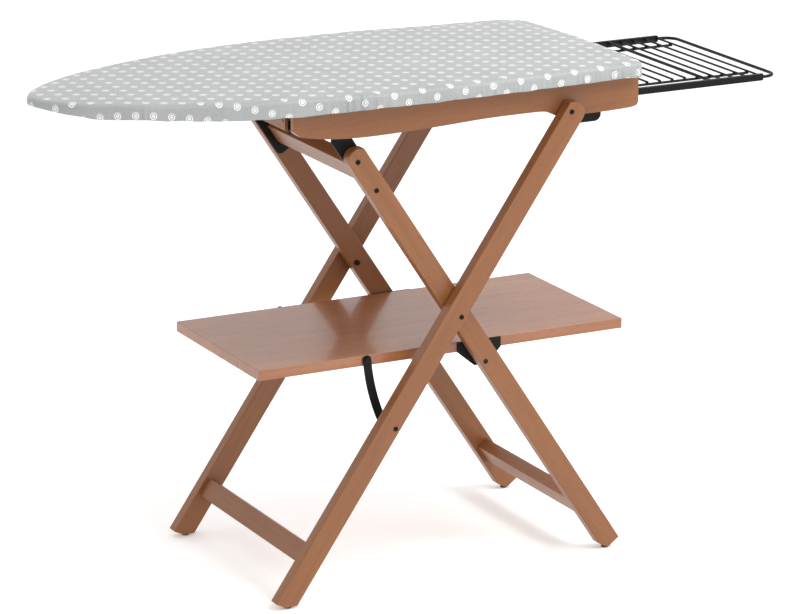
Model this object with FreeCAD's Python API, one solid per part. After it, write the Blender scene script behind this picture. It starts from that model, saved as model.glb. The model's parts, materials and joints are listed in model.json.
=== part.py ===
import FreeCAD, Part
import math
import os

# A folding wooden ironing board: a padded board on a timber frame, scissor legs that fold under it,
# a clothes shelf that stays level on its linkage, and a wire iron rest that slides out of the tail.
# Millimetres. +X points from the nose to the iron rest, +Z up. The floor is z = 0, and x = 0 is
# halfway along the object. Each side piece is drawn on the front side (-Y) and mirrored to the rear.

# Board
board_length = 1109.0
board_width = 508.0
board_height = 934.0
iron_rest_reach = 308.0
nose_length = 594.0
nose_fullness = 1.75
tail_taper = 20.0
tail_bulge = 11.0
tail_corner_radius = 38.0
cover_thickness = 1.6
cover_edge_radius = 7.0
cover_hem = 14.0
pad_thickness = 8.0
panel_thickness = 16.0
nose_bevel = (85.0, 12.0)
soft_gap = 0.3

# Timber frame under the board
rail_nose_inset = 407.5
rail_tail_inset = 5.0
rail_gap = 0.5
rail_ledge_drop = 48.5
rail_shoulder_drop = 38.8
rail_wall = 10.0
rail_chamfer = (14.5, 37.5)
nose_lobe = [(0.04, 49.1), (0.24, 59.8), (0.56, 60.8), (0.82, 57.3), (1.0, 54.0)]
tail_lobe = [(268.0, 53.1), (220.0, 53.0), (201.0, 53.5), (187.0, 56.2), (177.0, 61.4), (168.0, 64.4),
             (152.0, 65.9), (120.0, 66.5), (80.0, 66.6), (17.0, 64.5)]
ledge_break = (388.0, 177.0)
tail_lobe_start = 320.0
rail_corner_radius = 9.0
runner_thickness = 16.0
runner_depth = 32.0
runner_inset = 9.7
wood_screw_length = 45.0
wood_screw_radius = 2.0
wood_screw_head_radius = 3.8
wood_screw_head = 2.5
nose_cross_rail_depth = 42.0
tail_cross_rail_depth = 31.0
cross_rail_thickness = 18.0

# Scissor legs
leg_width = 40.0
leg_thickness = 23.5
leg_gap = 2.7
leg_reach = 418.7
leg_lean = 57.85
pivot_tail_inset = 158.4
pivot_drop = 79.6
outer_pivot_offset = -7.4
outer_scissor_offset = 10.8
inner_rod_offset = 1.1
inner_scissor_offset = -8.0
leg_top_radius = 20.0
outer_leg_top_drop = 62.5
inner_leg_top_drop = 108.0
arris = 1.6
outer_toe_angle = 25.0
outer_toe_height = 13.5
inner_toe_angle = 36.0
inner_toe_height = 19.0
inner_heel_angle = 29.0
inner_heel_height = 12.5
foot_pad_height = 4.0
foot_pad_radius = 6.5
stretcher_thickness = 25.0
outer_lower_depth = 38.0
outer_stretcher_reach = 529.0
inner_stretcher_reach = 500.0
inner_lower_depth = 40.0
upper_stretcher_reach = 320.5
upper_stretcher_depth = 41.0
upper_stretcher_offset = 14.7
dowel_radius = 4.0
dowel_length = 30.0
dowel_pitch = 20.0

# Steel: bolts, hook plates, racks, shelf brackets and links
bolt_radius = 3.0
bolt_head_radius = 4.6
bolt_head_height = 1.6
bolt_socket_radius = 1.7
bolt_socket_floor = 0.2
bolt_end_height = 1.5
washer_radius = 9.0
nut_radius = 5.0
nut_height = 4.0
running_fit = 0.06
side_clearance = 0.4
hook_plate_thickness = 4.0
hook_plate_width = 36.0
hook_plate_bolt_reach = (292.8, 359.1)
hook_plate_bolt_offset = 3.8
hook_plate_start = 277.5
hook_plate_inset = 1.5
hook_neck_length = 8.0
hook_rod_radius = 4.0
hook_eye_radius = 11.0
rack_thickness = 3.0
rack_height = 24.0
rack_notch_pitch = 28.0
rack_notch_count = 4
rack_notch_depth = 9.0
rack_margin = (7.5, 40.0)
rivet_radius = 2.0
rivet_head_radius = 3.6
rivet_head = 1.2
rivet_grip = 5.0
rivet_inset = 4.5
tray_plate_thickness = 3.0
tray_plate_drop = 88.6
tray_plate_length = 81.0
tray_plate_tail_inset = 70.0
tray_plate_margin = 3.0
tray_plate_radius = 13.0

# Shelf and its linkage
shelf_length = 744.0
shelf_width = 356.6
shelf_thickness = 19.0
shelf_play = 7.4
shelf_pivot_reach = 117.2
shelf_pivot_offset = -1.0
shelf_pivot_drop = 34.0
shelf_lead = 440.4
bracket_thickness = 3.0
bracket_width = 89.0
bracket_side = 19.0
bracket_lead = 46.2
bracket_ear = 14.0
bracket_tip = (-8.0, 16.0)
bracket_tip_radius = 6.0
bracket_foot = (22.0, 2.0)
bracket_foot_inset = 4.0
bracket_screw_inset = (16.0, 14.0)
bracket_screw_length = 14.0
bracket_screw_radius = 1.8
bracket_screw_head_radius = 3.6
bracket_screw_head = 1.6
link_standoff = 1.3
link_thickness = 3.0
link_width = 16.0
link_bow = 5.0
link_pin_lead = 227.0
link_pin_drop = 7.5
link_bolt_reach = 233.0
link_bolt_offset = -0.9
link_bolt_gap = 0.5
link_spacer_radius = 6.0
link_pin_depth = 24.0
link_pin_head_radius = 5.2
link_pin_head = 2.6

# Wire iron rest
tray_rail_length = 442.0
tray_rail_end_inset = 35.5
tray_rail_height = 12.4
tray_rail_thickness = 7.4
tray_rail_radius = 3.0
tray_clearance = 0.7
tray_side_clearance = 0.5
tray_travel = 300.0
tray_end_stop = 12.0
keeper_length = 334.0
end_rod_radius = 3.0
end_rod_corner = 26.0
long_rod_radius = 2.5
long_rod_spread = 137.6
long_rod_rise = 1.0
long_rod_overhang = 4.0
cross_rod_radius = 2.0
heavy_rod_radius = 3.0
heavy_rod_inset = 145.0
back_rod_inset = 8.0
cross_rod_pitch = 26.8
outer_cross_rods = 4
inner_cross_rods = 10

V = FreeCAD.Vector
nodes = {}

# Places worked out from the sizes above
half_length = (board_length + iron_rest_reach) / 2.0
nose_x = -half_length
tail_x = nose_x + board_length
half_width = board_width / 2.0
pad_top = board_height - cover_thickness - soft_gap
panel_top = pad_top - pad_thickness - soft_gap
panel_bottom = panel_top - panel_thickness
hem_bottom = panel_bottom - soft_gap - cover_thickness
inner_leg_in = shelf_width / 2.0 + shelf_play
inner_leg_out = inner_leg_in + leg_thickness
outer_leg_in = inner_leg_out + leg_gap
outer_leg_out = outer_leg_in + leg_thickness
hook_plate_out = inner_leg_in
hook_plate_in = hook_plate_out - hook_plate_thickness
rail_in = inner_leg_in + rail_gap
rail_x0 = nose_x + rail_nose_inset
rail_x1 = tail_x - rail_tail_inset
rail_length = rail_x1 - rail_x0
ledge_z = panel_bottom - rail_ledge_drop
shoulder_z = panel_bottom - rail_shoulder_drop
tray_x1 = half_length - tray_rail_end_inset
tray_x0 = tray_x1 - tray_rail_length
pivot = (tail_x - pivot_tail_inset, board_height - pivot_drop)


def direction(angle):
    return (math.cos(math.radians(angle)), math.sin(math.radians(angle)))


lean = direction(leg_lean)
scissor = (pivot[0] - leg_reach * lean[0], pivot[1] - leg_reach * lean[1])
hook_rod = (scissor[0] - leg_reach * lean[0], pivot[1])


class Leg:
    """A leg's own axes: u runs up the leg from the scissor bolt and n across it, to the right."""

    def __init__(self, angle, scissor_offset):
        self.u = direction(angle)
        self.n = (self.u[1], -self.u[0])
        self.middle = -scissor_offset
        self.left = self.middle - leg_width / 2.0
        self.right = self.middle + leg_width / 2.0

    def at(self, u, n):
        return (scissor[0] + u * self.u[0] + n * self.n[0], scissor[1] + u * self.u[1] + n * self.n[1])

    def at_height(self, n, z):
        """The point at height z on the line that runs along the leg at n."""
        u = (z - scissor[1] - n * self.n[1]) / self.u[1]
        return self.at(u, n)


outer_swing = math.degrees(math.asin((outer_scissor_offset - outer_pivot_offset) / leg_reach))
inner_swing = math.degrees(math.asin((inner_rod_offset - inner_scissor_offset) / leg_reach))
outer = Leg(leg_lean - outer_swing, outer_scissor_offset)
inner = Leg(180.0 - leg_lean + inner_swing, inner_scissor_offset)

shelf_pivot = inner.at(-shelf_pivot_reach, shelf_pivot_offset)
shelf_top = shelf_pivot[1] + shelf_pivot_drop
shelf_x0 = shelf_pivot[0] - shelf_lead
shelf_x1 = shelf_x0 + shelf_length
link_pin = (shelf_pivot[0] - link_pin_lead, shelf_top - link_pin_drop)
link_bolt = outer.at(-link_bolt_reach, link_bolt_offset)
bracket_out = shelf_width / 2.0 + bracket_thickness
link_in = shelf_width / 2.0 + link_standoff
link_out = link_in + link_thickness


def box(x0, x1, y0, y1, z0, z1):
    return Part.makeBox(x1 - x0, y1 - y0, z1 - z0, V(x0, y0, z0))


def rod_y(place, radius, y0, y1):
    return Part.makeCylinder(radius, y1 - y0, V(place[0], y0, place[1]), V(0, 1, 0))


def rod_x(y, z, radius, x0, x1):
    return Part.makeCylinder(radius, x1 - x0, V(x0, y, z), V(1, 0, 0))


def rod_z(x, y, radius, z0, z1):
    return Part.makeCylinder(radius, z1 - z0, V(x, y, z0), V(0, 0, 1))


def extrude_y(edges, y0, y1):
    wire = Part.Wire(edges)
    wire.translate(V(0, y0, 0))
    return Part.Face(wire).extrude(V(0, y1 - y0, 0))


def polygon_y(points, y0, y1):
    corners = [V(x, 0, z) for x, z in points]
    return extrude_y(Part.makePolygon(corners + corners[:1]).Edges, y0, y1)


def edges_at(shape, places):
    """The edges parallel to Y that stand over the given (x, z) places."""
    found = []
    for edge in shape.Edges:
        middle = edge.CenterOfMass
        ends = [v.Point for v in edge.Vertexes]
        level = len(ends) == 2 and abs(abs(ends[0].y - ends[1].y) - edge.Length) < 0.01
        if level and any(math.hypot(middle.x - x, middle.z - z) < 0.05 for x, z in places):
            found.append(edge)
    return found


def eased(shape):
    """The piece with every edge eased, as planed timber has."""
    return shape.makeFillet(arris, shape.Edges)


def mirrored(shape):
    return shape.mirror(V(0, 0, 0), V(0, 1, 0))


def pair(name, shape):
    """A front piece, and its mirror image at the rear, in two nodes."""
    nodes[name + "_front"] = shape
    nodes[name + "_rear"] = mirrored(shape)


def group(name, shapes):
    nodes[name] = Part.makeCompound(shapes)


def both_sides(shapes):
    return shapes + [mirrored(s) for s in shapes]


def outline(inset, z):
    """The board's plan, inset all round: a superellipse nose, tapering flanks and a bowed tail."""
    width = half_width - inset
    start = nose_x + inset
    widest = nose_x + nose_length
    end = tail_x - inset
    corner = end - tail_bulge

    def half_at(x):
        if x < widest:
            s = (widest - x) / (widest - start)
            return width * (1.0 - s ** nose_fullness) ** (1.0 / nose_fullness)
        return width - tail_taper * ((x - widest) / (tail_x - widest)) ** 2

    steps = 14
    bow = [start + (widest - start) * (1.0 - math.cos(math.pi / 2 * k / steps)) for k in range(steps + 1)]
    flank = [widest + (corner - widest) * k / 4 for k in range(1, 5)]
    side = [(x, half_at(x)) for x in bow + flank]
    path = [V(x, -w, z) for x, w in reversed(side)] + [V(x, w, z) for x, w in side[1:]]
    curve = Part.BSplineCurve()
    curve.interpolate(path)
    bow_edge = Part.Arc(path[-1], V(end, 0, z), path[0]).toShape()
    return Part.Wire([curve.toShape(), bow_edge])


def board_slab(inset, z0, z1, edge=0.0):
    """The board's plan as a slab, with rounded tail corners and, if asked, a rounded top edge."""
    slab = Part.Face(outline(inset, z0)).extrude(V(0, 0, z1 - z0))
    corners = [e for e in slab.Edges if abs(e.Length - (z1 - z0)) < 0.01 and e.CenterOfMass.x > 0
               and len({round(v.Point.z, 3) for v in e.Vertexes}) == 2]
    slab = slab.makeFillet(tail_corner_radius - inset, corners)
    if edge:
        slab = slab.makeFillet(edge, [e for e in slab.Edges if abs(e.CenterOfMass.z - z1) < 0.01])
    return slab


def nose_wedge(z):
    """What the underside's bevel takes off the nose: it rises towards the tip from the height z."""
    length, rise = nose_bevel
    below = z - rise
    corners = [(nose_x - rise, z + rise * (1.0 + rise / length)), (nose_x + length, z),
               (nose_x + length, below), (nose_x - rise, below)]
    return polygon_y(corners, -half_width, half_width)


def make_board():
    under = cover_edge_radius - cover_thickness
    inset = cover_thickness + soft_gap
    shell = board_slab(0, hem_bottom, board_height, cover_edge_radius)
    hollow = board_slab(cover_thickness, panel_bottom - soft_gap, board_height - cover_thickness, under)
    side = inner_leg_out + rail_gap
    rails = box(rail_x0 - rail_gap, rail_x1 + rail_gap, -side, side, hem_bottom - 1, panel_bottom)
    shell = shell.cut(hollow).cut(board_slab(cover_hem, hem_bottom - 1, panel_bottom))
    nodes["fabric_cover"] = shell.cut(rails).cut(nose_wedge(hem_bottom))
    nodes["foam_pad"] = board_slab(inset, pad_top - pad_thickness, pad_top, under - soft_gap)
    panel = board_slab(inset + soft_gap, panel_bottom, panel_top)
    nodes["top_panel"] = panel.cut(nose_wedge(panel_bottom))


def rail_bottom():
    """The side rail's lower edge: a long shallow lobe, a rise, and a deeper lobe round the pivot."""
    span = rail_length - tail_lobe_start
    low = [(rail_x0 + span * f, panel_bottom - d) for f, d in nose_lobe]
    low += [(rail_x1 - along, panel_bottom - d) for along, d in tail_lobe]
    return low


def make_side_rails():
    """Each side rail is a shaped outer board with a ledge glued inside it for the iron rest: low where
    the rest slides, left out where the board is shallow, and a higher shoulder towards the nose."""
    low = rail_bottom()
    curve = Part.BSplineCurve()
    curve.interpolate([V(x, 0, z) for x, z in low])
    shoulder = (rail_x0, panel_bottom - rail_chamfer[1])
    tail_low = (rail_x1, panel_bottom - tail_lobe[-1][1] + 3.0)
    rest = [low[-1], tail_low, (rail_x1, panel_bottom), (rail_x0, panel_bottom), shoulder, low[0]]
    corners = [V(x, 0, z) for x, z in rest]
    edges = [curve.toShape()] + Part.makePolygon(corners).Edges
    rail = extrude_y(edges, -inner_leg_out, -rail_in)
    rail = rail.makeFillet(rail_corner_radius, edges_at(rail, [tail_low]))
    rail = rail.cut(rod_y(pivot, bolt_radius + running_fit, -outer_leg_out, 0))
    wall = -inner_leg_out + rail_wall
    pair("side_rail", rail.cut(box(rail_x0 - 1, rail_x1 + 1, wall, 0, 0, board_height)))
    groove_start = tray_x0 - tray_travel - tray_end_stop
    blocks = [box(rail_x0 - 1, groove_start, wall, 0, 0, shoulder_z),
              box(groove_start, rail_x1 - ledge_break[0], wall, 0, 0, ledge_z),
              box(rail_x1 - ledge_break[1], rail_x1 + 1, wall, 0, 0, ledge_z)]
    ledge = Part.makeCompound([rail.common(b) for b in blocks])
    pair("rail_ledge", ledge)


def wood_screw(x, y, z, way):
    """A countersunk-style screw along X, its head flush at x and its point towards way."""
    ends = sorted((x, x + way * wood_screw_length))
    head_ends = sorted((x, x + way * wood_screw_head))
    return rod_x(y, z, wood_screw_radius, *ends).fuse(rod_x(y, z, wood_screw_head_radius, *head_ends))


def make_frame():
    make_side_rails()
    keeper_z = ledge_z + tray_rail_height + 2 * tray_clearance
    keeper_x1 = rail_x1 - rail_gap
    keeper_out = -inner_leg_out + rail_wall
    keeper = box(keeper_x1 - keeper_length, keeper_x1, keeper_out, -rail_in, keeper_z, panel_bottom)
    pair("tray_keeper", keeper)
    outside = inner_leg_in - runner_inset
    inside = outside - runner_thickness
    nose_end = rail_x0 + cross_rail_thickness
    tail_start = keeper_x1 - cross_rail_thickness
    nose_low = panel_bottom - nose_cross_rail_depth
    tail_low = panel_bottom - tail_cross_rail_depth
    nose_rail = box(rail_x0, nose_end, -outside, outside, nose_low, panel_bottom)
    tail_rail = box(tail_start, keeper_x1, -rail_in, rail_in, tail_low, panel_bottom)
    runner = box(nose_end, tail_start, -outside, -inside, panel_bottom - runner_depth, panel_bottom)
    place = (-(outside + inside) / 2.0, panel_bottom - runner_depth * 0.8)
    nose_screw = wood_screw(rail_x0, place[0], place[1], 1)
    tail_screw = wood_screw(keeper_x1, place[0], place[1], -1)
    pair("inner_runner", runner.cut(nose_screw).cut(tail_screw))
    nodes["nose_cross_rail"] = nose_rail.cut(nose_screw).cut(mirrored(nose_screw))
    nodes["tail_cross_rail"] = tail_rail.cut(tail_screw).cut(mirrored(tail_screw))
    group("runner_screws", both_sides([nose_screw, tail_screw]))


def make_height_racks():
    """Steel strips on the runners whose notches look down on the hook rod, one for each height."""
    low = hook_rod[1] + hook_rod_radius + side_clearance
    inside = -(inner_leg_in - runner_inset)
    out = inside - rack_thickness
    last = hook_rod[0] - rack_notch_pitch * (rack_notch_count - 1)
    rack = box(last - rack_margin[0], hook_rod[0] + rack_margin[1], out, inside, low, low + rack_height)
    width = hook_rod_radius + side_clearance
    for k in range(rack_notch_count):
        x = hook_rod[0] - k * rack_notch_pitch
        top = low + rack_notch_depth - width
        rack = rack.cut(box(x - width, x + width, out - 1, inside + 1, low - 1, top))
        rack = rack.cut(rod_y((x, top), width, out - 1, inside + 1))
    rivets = []
    for k in (-0.5, rack_notch_count - 1.5):
        place = (hook_rod[0] - k * rack_notch_pitch, low + rack_height - rivet_inset)
        shank = rod_y(place, rivet_radius, out, inside + rivet_grip)
        rack = rack.cut(shank)
        for side in ("_front", "_rear"):
            cutter = shank if side == "_front" else mirrored(shank)
            nodes["inner_runner" + side] = nodes["inner_runner" + side].cut(cutter)
        rivets.append(shank.fuse(rod_y(place, rivet_head_radius, out - rivet_head, out)))
    pair("height_rack", rack)
    group("rack_rivets", both_sides(rivets))


def make_tray_plates():
    """A black steel plate screwed inside each side rail, hanging below the iron rest's rail."""
    x1 = tail_x - tray_plate_tail_inset
    x0 = x1 - tray_plate_length
    low = panel_bottom - tray_plate_drop
    high = ledge_z - tray_plate_margin
    inside = -rail_in + tray_plate_thickness
    plate = box(x0, x1, -rail_in, inside, low, high)
    plate = plate.makeFillet(tray_plate_radius, edges_at(plate, [(x1, low)]))
    screws = []
    for x in (x0 + 3 * tray_plate_margin, x1 - 3 * tray_plate_margin):
        place = (x, high - 2 * tray_plate_margin)
        shank = rod_y(place, wood_screw_radius, -rail_in - rail_wall, inside)
        plate = plate.cut(shank)
        nodes["rail_ledge_front"] = nodes["rail_ledge_front"].cut(shank)
        screws.append(shank.fuse(rod_y(place, wood_screw_head_radius, inside, inside + 1.4)))
    nodes["rail_ledge_rear"] = mirrored(nodes["rail_ledge_front"])
    pair("tray_plate", plate)
    group("tray_plate_screws", both_sides(screws))


def bolt(place, face, end):
    """A bolt on the front side: a domed socket head on face, and a shank that stops at end."""
    crown = face - bolt_head_height
    head = rod_y(place, bolt_head_radius, crown, face)
    rim = [e for e in head.Edges if abs(e.CenterOfMass.y - crown) < 0.01]
    head = head.makeFillet(bolt_head_height * 0.8, rim)
    socket = rod_y(place, bolt_socket_radius, crown - 1, face - bolt_socket_floor)
    return rod_y(place, bolt_radius, face, end).fuse(head).cut(socket)


def nutted(place, face, nut_face):
    """A bolt with a round nut on nut_face."""
    nut = rod_y(place, nut_radius, nut_face, nut_face + nut_height)
    return bolt(place, face, nut_face + nut_height).fuse(nut)


def hole(place, fit):
    return rod_y(place, bolt_radius + fit, -half_width, 0)


def foot_pad(x, y_middle):
    pad = rod_z(x, -y_middle, foot_pad_radius, 0.0, foot_pad_height)
    rim = [e for e in pad.Edges if e.CenterOfMass.z < 0.01]
    return pad.makeFillet(1.0, rim)


def make_outer_legs():
    top = board_height - outer_leg_top_drop
    toe = outer.at_height(outer.left, outer_toe_height)
    flat = toe[0] + (outer_toe_height - foot_pad_height) / math.tan(math.radians(outer_toe_angle))
    heel = outer.at_height(outer.right, foot_pad_height)
    apex = outer.at_height(outer.right, top)
    corners = [outer.at_height(outer.left, top), apex, heel, (flat, foot_pad_height), toe]
    leg = polygon_y(corners, -outer_leg_out, -outer_leg_in)
    leg = leg.makeFillet(leg_top_radius, edges_at(leg, [apex]))
    leg = eased(leg)
    leg = leg.cut(hole(pivot, 0.0)).cut(hole(scissor, 0.0)).cut(hole(link_bolt, 0.0))
    rail_u = -outer_stretcher_reach + outer_lower_depth / 2.0
    rail, dowels = stretcher(outer, rail_u, outer.middle, outer_lower_depth, outer_leg_in)
    for dowel in dowels:
        leg = leg.cut(dowel)
    pair("outer_leg", leg)
    nodes["outer_lower_rail"] = rail
    group("outer_rail_dowels", both_sides(dowels))
    pad_x = (flat + heel[0]) / 2.0 - 3.0
    group("outer_foot_pads", both_sides([foot_pad(pad_x, (outer_leg_in + outer_leg_out) / 2.0)]))
    washer_out = -outer_leg_in
    washer_in = washer_out + leg_gap - side_clearance
    washers = []
    for place in (pivot, scissor):
        ring = rod_y(place, washer_radius, washer_out, washer_in)
        washers.append(ring.cut(hole(place, 0.0)))
    group("pivot_washers", both_sides(washers[:1]))
    group("scissor_washers", both_sides(washers[1:]))
    nut_face = -inner_leg_in + side_clearance
    group("pivot_bolts", both_sides([nutted(pivot, -outer_leg_out, nut_face)]))
    group("scissor_bolts", both_sides([nutted(scissor, -outer_leg_out, nut_face)]))
    spacer_end = -link_out - link_bolt_gap
    spacer = rod_y(link_bolt, link_spacer_radius, -outer_leg_in, spacer_end)
    group("link_spacers", both_sides([spacer.cut(hole(link_bolt, 0.0))]))
    group("link_bolts", both_sides([bolt(link_bolt, -outer_leg_out, spacer_end)]))


def stretcher(leg, u, n, depth, reach):
    """A rail from leg to leg, its depth along the leg, and the two dowels in its front end."""
    half = stretcher_thickness / 2.0
    corners = [leg.at(u - depth / 2.0, n - half), leg.at(u - depth / 2.0, n + half),
               leg.at(u + depth / 2.0, n + half), leg.at(u + depth / 2.0, n - half)]
    rail = polygon_y(corners, -reach, reach)
    long_edges = edges_at(rail, corners)
    rail = rail.makeFillet(arris, long_edges)
    dowels = []
    for k in (-0.5, 0.5):
        place = leg.at(u + k * dowel_pitch, n)
        dowels.append(rod_y(place, dowel_radius, -reach - dowel_length / 2.0, -reach + dowel_length / 2.0))
    for dowel in both_sides(dowels):
        rail = rail.cut(dowel)
    return rail, dowels


def make_hook_plate():
    """A steel arm bolted inside the inner leg, which carries the hook rod above the leg's top."""
    left = inner.left + hook_plate_inset
    right = left + hook_plate_width
    rod_u = leg_reach * math.cos(math.radians(inner_swing))
    rod_n = inner.middle + inner_rod_offset
    neck = rod_u - hook_neck_length
    low = [inner.at(hook_plate_start, left), inner.at(hook_plate_start, right)]
    rest = [inner.at(neck, right), inner.at(rod_u, rod_n + hook_eye_radius),
            inner.at(rod_u, rod_n - hook_eye_radius), inner.at(neck, left)]
    arm = polygon_y(low + rest, -hook_plate_out, -hook_plate_in)
    arm = arm.makeFillet(hook_eye_radius, edges_at(arm, low))
    eye = rod_y(hook_rod, hook_eye_radius, -hook_plate_out, -hook_plate_in)
    arm = arm.fuse(eye).removeSplitter()
    return arm.cut(rod_y(hook_rod, hook_rod_radius, -hook_plate_out, 0))


def make_inner_legs():
    top = board_height - inner_leg_top_drop
    toe = inner.at_height(inner.right, inner_toe_height)
    heel = inner.at_height(inner.left, inner_heel_height)
    flat_end = toe[0] - (inner_toe_height - foot_pad_height) / math.tan(math.radians(inner_toe_angle))
    flat_start = heel[0] + (inner_heel_height - foot_pad_height) / math.tan(math.radians(inner_heel_angle))
    apex = inner.at_height(inner.left, top)
    corners = [apex, inner.at_height(inner.right, top), toe, (flat_end, foot_pad_height),
               (flat_start, foot_pad_height), heel]
    leg = polygon_y(corners, -inner_leg_out, -inner_leg_in)
    leg = leg.makeFillet(leg_top_radius, edges_at(leg, [apex]))
    leg = eased(leg)
    leg = leg.cut(hole(scissor, running_fit)).cut(hole(shelf_pivot, 0.0))
    plate = make_hook_plate()
    plate_bolts = []
    for u in hook_plate_bolt_reach:
        place = inner.at(u, inner.middle - hook_plate_bolt_offset)
        leg = leg.cut(hole(place, 0.0))
        plate = plate.cut(hole(place, 0.0))
        end = -hook_plate_in + bolt_end_height
        button = rod_y(place, bolt_head_radius, -hook_plate_in, end)
        plate_bolts.append(bolt(place, -inner_leg_out, end).fuse(button))
    low_u = -inner_stretcher_reach
    lower, low_dowels = stretcher(inner, low_u, inner.middle, inner_lower_depth, inner_leg_in)
    upper, top_dowels = stretcher(inner, upper_stretcher_reach, upper_stretcher_offset, upper_stretcher_depth,
                                  inner_leg_in)
    upper = upper.cut(plate).cut(mirrored(plate))
    plate = plate.cut(Part.makeCompound(top_dowels))
    for dowel in low_dowels + top_dowels:
        leg = leg.cut(dowel)
    pair("inner_leg", leg)
    pair("hook_plate", plate)
    nodes["inner_lower_rail"] = lower
    nodes["inner_upper_rail"] = upper
    nodes["hook_rod"] = rod_y(hook_rod, hook_rod_radius, -hook_plate_out, hook_plate_out)
    group("inner_rail_dowels", both_sides(low_dowels + top_dowels))
    group("hook_plate_bolts", both_sides(plate_bolts))
    pad_x = (flat_start + flat_end) / 2.0
    group("inner_foot_pads", both_sides([foot_pad(pad_x, (inner_leg_in + inner_leg_out) / 2.0)]))
    nut_face = -shelf_width / 2.0 + side_clearance
    group("shelf_pivot_bolts", both_sides([nutted(shelf_pivot, -inner_leg_out, nut_face)]))
    washer = rod_y(shelf_pivot, washer_radius, -inner_leg_in, -bracket_out - side_clearance)
    group("shelf_pivot_washers", both_sides([washer.cut(hole(shelf_pivot, 0.0))]))


def make_shelf():
    half = shelf_width / 2.0
    low = shelf_top - shelf_thickness
    board = box(shelf_x0, shelf_x1, -half, half, low, shelf_top)
    board = board.makeFillet(0.8, board.Edges)
    x1 = shelf_pivot[0] + bracket_lead
    x0 = x1 - bracket_width
    ear = shelf_pivot[1] - bracket_ear
    tips = [(shelf_pivot[0] + x, ear) for x in reversed(bracket_tip)]
    shape = [(x0, shelf_top), (x1, shelf_top), (x1, shelf_top - bracket_side)]
    plate = polygon_y(shape + tips + [(x0, shelf_top - bracket_side)], -bracket_out, -half)
    plate = plate.makeFillet(bracket_tip_radius, edges_at(plate, tips))
    plate = plate.cut(hole(shelf_pivot, running_fit))
    under = low - bracket_foot[1]
    foot = box(x0 + bracket_foot_inset, x1 - bracket_foot_inset, -half, -half + bracket_foot[0], under, low)
    plate = plate.fuse(foot).removeSplitter()
    screws = []
    for x in (x0 + bracket_screw_inset[0], x1 - bracket_screw_inset[0]):
        y = -half + bracket_screw_inset[1]
        screw = rod_z(x, y, bracket_screw_radius, under, under + bracket_screw_length)
        plate = plate.cut(screw)
        board = board.cut(screw).cut(mirrored(screw))
        screws.append(screw.fuse(rod_z(x, y, bracket_screw_head_radius, under - bracket_screw_head, under)))
    pin_face = -link_out - side_clearance
    pin = rod_y(link_pin, bolt_radius, pin_face, -half + link_pin_depth)
    board = board.cut(pin).cut(mirrored(pin))
    head = rod_y(link_pin, link_pin_head_radius, pin_face - link_pin_head, pin_face)
    collar = rod_y(link_pin, link_spacer_radius, -link_in + side_clearance, -half)
    nodes["shelf_board"] = board
    pair("shelf_bracket", plate)
    group("bracket_screws", both_sides(screws))
    group("link_pins", both_sides([pin.fuse([head, collar])]))


def make_links():
    """A bowed flat steel bar with round ends, from the pin in the shelf's edge to the outer leg."""
    dx = link_bolt[0] - link_pin[0]
    dz = link_bolt[1] - link_pin[1]
    span = math.hypot(dx, dz)
    across = (dz / span, -dx / span)
    half = link_width / 2.0

    def side(offset):
        ends = [(p[0] + across[0] * offset, p[1] + across[1] * offset) for p in (link_pin, link_bolt)]
        middle = ((ends[0][0] + ends[1][0]) / 2.0 + across[0] * link_bow,
                  (ends[0][1] + ends[1][1]) / 2.0 + across[1] * link_bow)
        return ends[0], middle, ends[1]

    first, first_mid, first_end = side(half)
    second, second_mid, second_end = side(-half)
    top = (link_pin[0] - dx / span * half, link_pin[1] - dz / span * half)
    end = (link_bolt[0] + dx / span * half, link_bolt[1] + dz / span * half)

    def arc(a, b, c):
        return Part.Arc(V(a[0], 0, a[1]), V(b[0], 0, b[1]), V(c[0], 0, c[1])).toShape()

    edges = [arc(first, first_mid, first_end), arc(first_end, end, second_end),
             arc(second_end, second_mid, second), arc(second, top, first)]
    link = extrude_y(edges, -link_out, -link_in)
    pair("curved_link", link.cut(hole(link_pin, running_fit)))


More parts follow.
